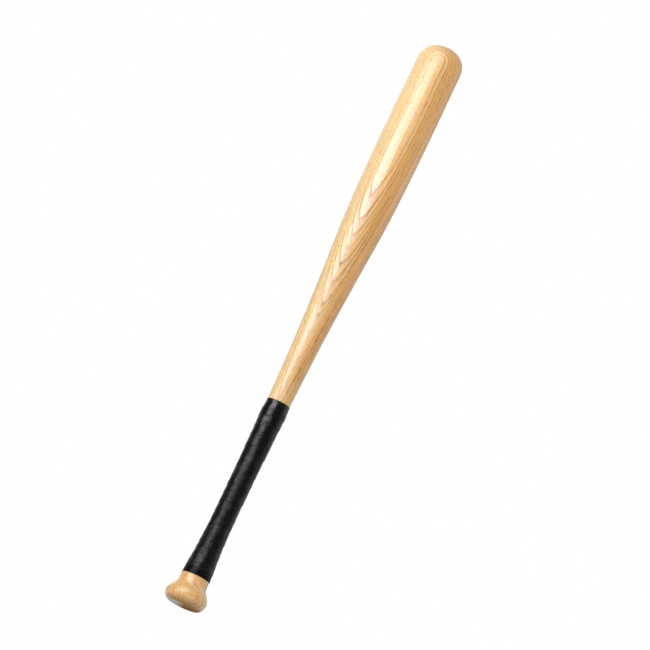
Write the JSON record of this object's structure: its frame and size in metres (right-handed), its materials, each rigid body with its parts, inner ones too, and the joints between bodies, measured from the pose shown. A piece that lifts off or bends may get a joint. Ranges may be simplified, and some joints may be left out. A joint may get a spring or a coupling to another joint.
{
  "type": "wooden baseball bat",
  "caption": "Full-size wooden baseball bat: turned hardwood billet with rounded barrel, long taper, flared knob and a spirally wound black grip.",
  "frame": {"origin": "centre of the flat end of the knob, which the bat stands on", "axes": "+Z along the bat's axis from the knob to the barrel; X and Y are equal, as the bat is turned"},
  "size_m": [0.0638, 0.0638, 0.838],
  "materials": {
    "lacquered_ash": "clear gloss lacquer over pale straight-grained ash",
    "grip_tape": "black satin grip tape, fine cross texture",
    "finishing_tape": "smooth black finishing tape, satin"
  },
  "bodies": {
    "root": {"billet": "lacquered_ash", "grip_tape": "grip_tape", "lower_band": "finishing_tape", "upper_band": "finishing_tape"}
  },
  "joints": []
}
